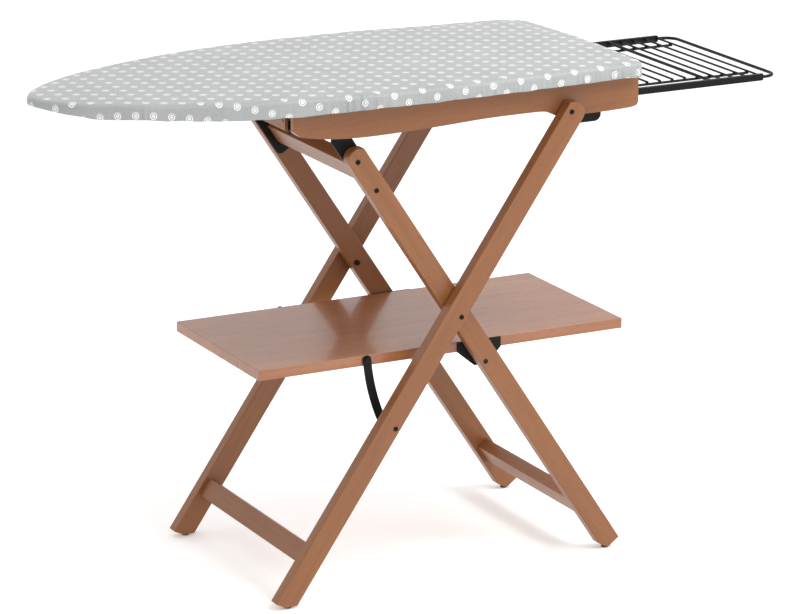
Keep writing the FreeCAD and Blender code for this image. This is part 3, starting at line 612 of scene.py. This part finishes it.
def swell(place, middle, width):
    """1 at the middle, fading smoothly on both sides."""
    return np.exp(-((place - middle) / width) ** 2)


def ramp(place, start, end):
    """0 before start, 1 after end, and smooth between them."""
    share = np.clip((place - start) / (end - start), 0.0, 1.0)
    return share * share * (3.0 - 2.0 * share)


def waves(place, seed, count, longest, shortest):
    """A smooth random line: sines of mixed lengths, the same on every run."""
    random = np.random.default_rng(seed)
    total = np.zeros_like(place)
    for length in np.geomspace(longest, shortest, count):
        total += np.sin(2.0 * math.pi * place / length + random.uniform(0.0, 2.0 * math.pi))
    return total / math.sqrt(count)


def corner_patch(outline, patch):
    """1 in a tail corner of the plan, fading away from it."""
    inset, side, width = patch
    return swell(np.hypot(outline[:, 0] - tail_x + inset, outline[:, 1] - side), 0.0, width)


def spine_points(outline):
    """For each point of the plan, the point of the middle line that the rings close on."""
    start, end = nose_x + SPINE_FROM_NOSE, tail_x - SPINE_FROM_TAIL
    return np.column_stack([np.clip(outline[:, 0], start, end), np.zeros(len(outline))])


def edge_droop(outline):
    """How far the padded edge is pulled down by the gathered hem, and how wide its round is."""
    x, y = outline[:, 0], outline[:, 1]
    far_tail = ramp(x, 0.0, 0.25) * ramp(y, -0.06, 0.16)
    droop = 1.0 + 3.6 * far_tail + 2.6 * corner_patch(outline, SAGGED_CORNER)
    droop = droop + 1.6 * corner_patch(outline, TIGHT_CORNER)
    roll = 11.0 + 5.0 * ramp(x, -0.3, -0.1) + 6.0 * far_tail
    return droop * mm, roll * mm


def bevel_rise(x):
    """How far the underside is cut up towards the nose's tip."""
    return BEVEL_RISE * np.clip(1.0 - (x - nose_x) / BEVEL_LENGTH, 0.0, 1.0)


def top_rings(outline, normal, inset, down, floor_z, soft, push):
    """Rings over the top and round the edge, the whole surface set in and down from the cloth's."""
    droop, roll = edge_droop(outline)
    spine = spine_points(outline)
    inner = outline - normal * (roll + inset)[:, None]
    crest = board_top - 0.4 * mm - down
    rings, cloth = [], []
    for share in np.concatenate([np.linspace(1.0, 0.2, 17), np.geomspace(0.17, 0.006, 9), [0.0]]):
        flat = inner + (spine - inner) * share
        distance = np.linalg.norm(flat - inner, axis=1)
        z = crest - droop * np.exp(-distance / 0.022) + soft * np.exp(-distance / 0.03)
        rings.append(np.column_stack([flat, z]))
        cloth.append(flat)
    top = crest - droop + soft
    for k in range(1, ROLL_STEPS + 1):
        turn = math.pi / 2.0 * k / ROLL_STEPS
        across = (roll * (1.0 - math.sin(turn)) + inset - push * math.sin(turn) ** 3)[:, None]
        z = top - (top - floor_z) * (1.0 - math.cos(turn)) + push * 0.35 * math.sin(2.0 * turn)
        rings.append(np.column_stack([outline - normal * across, z]))
        cloth.append(outline - normal * (roll * (1.0 - turn * 2.0 / math.pi))[:, None])
    return rings, cloth


def make_cover():
    """The cotton cover: a nearly flat top, a rounded edge, a band that puckers where the hem is
    gathered, and the hem turned under the panel."""
    outline, girth = plan_outline(0.0, COVER_SAMPLES)
    normal = outward_normals(outline)
    along = np.arange(COVER_SAMPLES) * girth / COVER_SAMPLES
    x, y = outline[:, 0], outline[:, 1]
    near = ramp(-y, 0.0, 0.06)
    corner = corner_patch(outline, NEAR_CORNER)
    far_corner = corner_patch(outline, FAR_CORNER)
    outline = outline + normal * ((7.0 * corner - 4.0 * far_corner) * mm)[:, None]
    tight = sum(amount * swell(x, middle, width) for amount, middle, width in TUCKS)
    tuck = near * tight + (1.0 - near) * FAR_TUCK
    gather = 0.10 + tuck + 0.4 * corner
    crowd = waves(along, seed=3, count=3, longest=0.031, shortest=0.014)
    fine = waves(along, seed=12, count=3, longest=0.013, shortest=0.007)
    folds = np.abs(0.7 * crowd + 0.4 * fine) ** 1.3
    drape = waves(along, seed=5, count=5, longest=0.16, shortest=0.045)
    soft = 0.20 * mm * waves(along, seed=9, count=4, longest=0.35, shortest=0.09)
    shoulder = panel_high.z + 0.8 * mm
    lift = gather * folds * 2.2 * mm
    rings, cloth = top_rings(outline, normal, 0.2 * mm, 0.0, shoulder, soft, lift)
    nose_drop = 5.0 * ramp(x, -0.56, -0.42) * (1.0 - 0.8 * ramp(x, -0.33, -0.16)) * near
    low_edge = panel_bottom + bevel_rise(x) - (1.4 + nose_drop + 2.0 * corner) * mm
    low_edge = low_edge + (0.6 * drape + 1.5 * gather * folds) * mm
    edge_slack = 0.6 + 0.5 * ramp(x, -0.3, -0.1)
    for k in range(1, BAND_STEPS + 1):
        share = k / BAND_STEPS
        z = shoulder + (low_edge - shoulder) * share
        belly = math.sin(math.pi * share) * (0.7 + 0.4 * drape) * edge_slack
        pucker = gather * folds * (2.2 + 2.6 * share)
        pinch = gather * 0.5 * share
        out = (belly + np.minimum(pucker, LARGEST_PUCKER) - pinch - 0.2) * mm
        rings.append(np.column_stack([outline + normal * out[:, None], z]))
        cloth.append(outline + normal * (shoulder - z)[:, None])
    reach = shoulder - low_edge
    for k, inset in enumerate(HEM_INSETS):
        share = min(1.0, (k + 1) / HEM_TURNS)
        shut = np.minimum(gather * folds * 4.8, LARGEST_PUCKER) * (1.0 - share)
        flat = outline - normal * (inset * mm - shut * mm)[:, None]
        under = panel_bottom + bevel_rise(flat[:, 0]) - 1.3 * mm
        z = low_edge + (under - low_edge) * share
        rings.append(np.column_stack([flat, z]))
        cloth.append(outline + normal * (reach + inset * mm)[:, None])
    cover = rings_to_mesh("printed_cover", rings, cloth)
    point_up(cover)
    wall = cover.modifiers.new("wall", "SOLIDIFY")
    wall.thickness = COVER_WALL
    wall.offset = -1.0
    apply_modifiers(cover)
    give(cotton, cover)
    return cover


def cut_size():
    """The cover's blank laid flat: its width, its length and its area, in metres."""
    outline, _ = plan_outline(0.0, COVER_SAMPLES)
    drop = board_top - panel_bottom + HEM_INSETS[-1] * mm
    flat = outline + outward_normals(outline) * drop
    ahead = np.roll(flat, -1, axis=0)
    area = abs(np.sum(flat[:, 0] * ahead[:, 1] - ahead[:, 0] * flat[:, 1])) / 2.0
    size = flat.max(axis=0) - flat.min(axis=0)
    return float(size[1]), float(size[0]), float(area)


def apply_modifiers(piece):
    """Turns a piece's live modifiers into its own plain mesh."""
    graph = bpy.context.evaluated_depsgraph_get()
    solid = bpy.data.meshes.new_from_object(piece.evaluated_get(graph),
                                            preserve_all_data_layers=True,
                                            depsgraph=graph)
    piece.modifiers.clear()
    piece.data = solid


# ---------------------------------------------------------------- the foam pad
PAD_SAMPLES = 360


def make_pad():
    """The foam under the cover: flat below, and above it lies close under the cloth."""
    outline, _ = plan_outline(pad_low.x - nose_x, PAD_SAMPLES)
    normal = outward_normals(outline)
    under = COVER_WALL + 0.5 * mm
    smooth = np.zeros(len(outline))
    rings, _ = top_rings(outline, normal, 0.8 * mm, under, pad_low.z + 0.4 * mm, smooth, smooth)
    spine = spine_points(outline)
    for share in (0.004, 0.08, 0.3, 0.6, 1.0):
        flat = outline + (spine - outline) * share
        rings.append(np.column_stack([flat, np.full(len(flat), pad_low.z + 0.1 * mm)]))
    pad = rings_to_mesh("foam_layer", rings)
    give(open_foam(), pad)
    return pad


# ---------------------------------------------------------------- repeated small pieces
def instance_tree(name, sockets):
    """An empty geometry tree with named inputs, and its input and output nodes."""
    tree = bpy.data.node_groups.new(name, "GeometryNodeTree")
    tree.interface.new_socket("Geometry", in_out="INPUT", socket_type="NodeSocketGeometry")
    for label, kind, default in sockets:
        socket = tree.interface.new_socket(label, in_out="INPUT", socket_type="NodeSocket" + kind)
        socket.default_value = default
    tree.interface.new_socket("Geometry", in_out="OUTPUT", socket_type="NodeSocketGeometry")
    return tree, tree.nodes.new("NodeGroupInput").outputs, tree.nodes.new("NodeGroupOutput").inputs


def set_inputs(modifier, values):
    """Sets a modifier's named inputs by their identifiers."""
    for item in modifier.node_group.interface.items_tree:
        if item.item_type == "SOCKET" and item.in_out == "INPUT" and item.name in values:
            modifier[item.identifier] = values[item.name]


def bead_tree(material):
    """A small weld bead on every point."""
    tree, given, out = instance_tree("weld_bead_row", [("Bead radius", "Float", 0.002),
                                                       ("Flatness", "Float", 0.7)])
    bead = add(tree, "GeometryNodeMeshIcoSphere",
               {"Radius": given["Bead radius"], "Subdivisions": 2})
    squash = add(tree, "ShaderNodeCombineXYZ", {"X": 1.0, "Y": 1.0, "Z": given["Flatness"]})
    on_points = add(tree, "GeometryNodeInstanceOnPoints", {"Points": given["Geometry"],
                                                           "Instance": bead.outputs["Mesh"],
                                                           "Scale": squash.outputs[0]})
    turn = add(tree, "FunctionNodeRandomValue", {"Seed": 4}, data_type="FLOAT_VECTOR")
    tree.links.new(turn.outputs[0], on_points.inputs["Rotation"])
    solid = add(tree, "GeometryNodeRealizeInstances", {"Geometry": on_points.outputs[0]})
    smooth = add(tree, "GeometryNodeSetShadeSmooth", {"Geometry": solid.outputs[0]})
    coat = add(tree, "GeometryNodeSetMaterial",
               {"Geometry": smooth.outputs[0], "Material": material})
    tree.links.new(coat.outputs[0], out[0])
    return tree


def stitch_tree(material):
    """Short capsules laid end to end along an edge path."""
    tree, given, out = instance_tree("hem_stitch_row", [("Stitch pitch", "Float", 0.005),
                                                        ("Stitch length", "Float", 0.0034),
                                                        ("Thread radius", "Float", 0.0004)])
    curve = add(tree, "GeometryNodeMeshToCurve", {"Mesh": given["Geometry"]})
    row = add(tree, "GeometryNodeResampleCurve",
              {"Curve": curve.outputs[0], "Length": given["Stitch pitch"]},
              mode="LENGTH")
    capsule = add(tree, "GeometryNodeMeshCylinder",
                  {"Vertices": 6, "Radius": given["Thread radius"],
                                                     "Depth": given["Stitch length"]})
    tangent = add(tree, "GeometryNodeInputTangent")
    aim = add(tree, "FunctionNodeAlignRotationToVector", {"Vector": tangent.outputs[0]}, axis="Z")
    points = add(tree, "GeometryNodeInstanceOnPoints",
                 {"Points": row.outputs[0], "Instance": capsule.outputs["Mesh"],
                  "Rotation": aim.outputs[0]})
    solid = add(tree, "GeometryNodeRealizeInstances", {"Geometry": points.outputs[0]})
    coat = add(tree, "GeometryNodeSetMaterial",
               {"Geometry": solid.outputs[0], "Material": material})
    tree.links.new(coat.outputs[0], out[0])
    return tree


def grown(name, points, edges, tree, values):
    """A piece grown by a node tree from points or edges, as a plain mesh."""
    seed = bpy.data.meshes.new(name)
    seed.from_pydata([tuple(p) for p in points], edges, [])
    piece = bpy.data.objects.new(name, seed)
    scene.collection.objects.link(piece)
    modifier = piece.modifiers.new("grow", "NODES")
    modifier.node_group = tree
    set_inputs(modifier, values)
    apply_modifiers(piece)
    return piece


ROD_GAP = 0.008
SEAM_INSET = 9.0 * mm
SEAM_DROP = 2.75 * mm
SEAM_SAMPLES = 300
BEAD_RADIUS = 1.7 * mm
BEAD_OFFSET = 1.6 * mm
BEAD_FLATNESS = 0.75


def cross_places(node):
    """The x of each separate rod in a node of parallel cross rods."""
    rows = sorted({round(v.co.x, 3) for v in nodes[node].data.vertices})
    groups, current = [], [rows[0]]
    for x in rows[1:]:
        if x - current[-1] > ROD_GAP:
            groups.append(current)
            current = []
        current.append(x)
    groups.append(current)
    return [(g[0] + g[-1]) / 2.0 for g in groups]


def make_weld_beads():
    """Beads where the tray's rods cross its long rods and butt on its flat rails."""
    long_low, long_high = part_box("tray_long_rods")
    _, rail_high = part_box("tray_rail_front")
    inside = -rail_high.y
    spread_y = long_high.y - (long_high.z - long_low.z) / 2.0
    places = []
    for node in ("tray_inner_cross_rods", "tray_outer_cross_rods", "tray_heavy_rod"):
        low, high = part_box(node)
        for x in cross_places(node):
            for side in (-1.0, 1.0):
                for dx in (-BEAD_OFFSET, BEAD_OFFSET):
                    places.append((x + dx, side * spread_y, long_high.z - 0.1 * mm))
                if high.y > inside - 1.0 * mm:
                    places.append((x, side * (inside - 0.6 * mm), (low.z + high.z) / 2.0))
    return grown("weld_beads", places, [], bead_tree(wire_coat),
                 {"Bead radius": BEAD_RADIUS, "Flatness": BEAD_FLATNESS})


def make_hem_stitching():
    """The seam that holds the turned hem, seen from below."""
    outline, _ = plan_outline(SEAM_INSET, SEAM_SAMPLES)
    z = panel_bottom - SEAM_DROP
    points = [(x, y, z + bevel_rise(x)) for x, y in outline]
    edges = [(k, (k + 1) % len(points)) for k in range(len(points))]
    return grown("hem_stitching", points, edges, stitch_tree(stitch_thread()), {})


# ---------------------------------------------------------------- floor and light
WHITE = (1.0, 1.0, 1.0, 1.0)
FLOOR_REACH = 30.0
SKY_STRENGTH = 0.95
# Each lamp's name, place, aim, size and power in watts.
LAMPS = (("key", (1.5, -3.0, 3.1), (0.0, 0.0, 0.7), 1.5, 50.0),
         ("top", (1.6, -1.1, 3.7), (0.1, -0.1, 0.9), 1.3, 60.0))


def make_studio():
    """The floor, the white surroundings and two lamps."""
    mesh = bpy.data.meshes.new("studio_floor")
    corners = [(-1, -1), (1, -1), (1, 1), (-1, 1)]
    mesh.from_pydata([(x * FLOOR_REACH, y * FLOOR_REACH, 0.0) for x, y in corners], [],
                     [(0, 1, 2, 3)])
    floor = bpy.data.objects.new("studio_floor", mesh)
    scene.collection.objects.link(floor)
    give(studio_floor(), floor)
    world = bpy.data.worlds.new("studio")
    world.use_nodes = True
    sky = world.node_tree.nodes["Background"].inputs
    sky["Color"].default_value = WHITE
    sky["Strength"].default_value = SKY_STRENGTH
    scene.world = world
    for name, place, aim, size, power in LAMPS:
        data = bpy.data.lights.new(name, "AREA")
        data.shape = "SQUARE"
        data.size = size
        data.energy = power
        lamp = bpy.data.objects.new(name, data)
        lamp.location = place
        lamp.rotation_euler = (Vector(aim) - Vector(place)).to_track_quat("-Z", "Y").to_euler()
        scene.collection.objects.link(lamp)
    scene.view_settings.view_transform = "Standard"


make_camera()
cotton = printed_cotton()
finish_cad_nodes()
wire_coat = nodes["tray_end_rod"].data.materials[0]

cover = make_cover()
pad = make_pad()
weld_beads = make_weld_beads()
hem_stitching = make_hem_stitching()
make_studio()

for piece, body, slot in ((cover, "board", "cover_fabric"), (pad, "board", "foam"),
                          (hem_stitching, "board", "cover_fabric"),
                          (weld_beads, "iron_rest", "black_wire")):
    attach(piece, body)
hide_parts("fabric_cover")
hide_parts("foam_pad")
cut_width, cut_length, cut_area = cut_size()
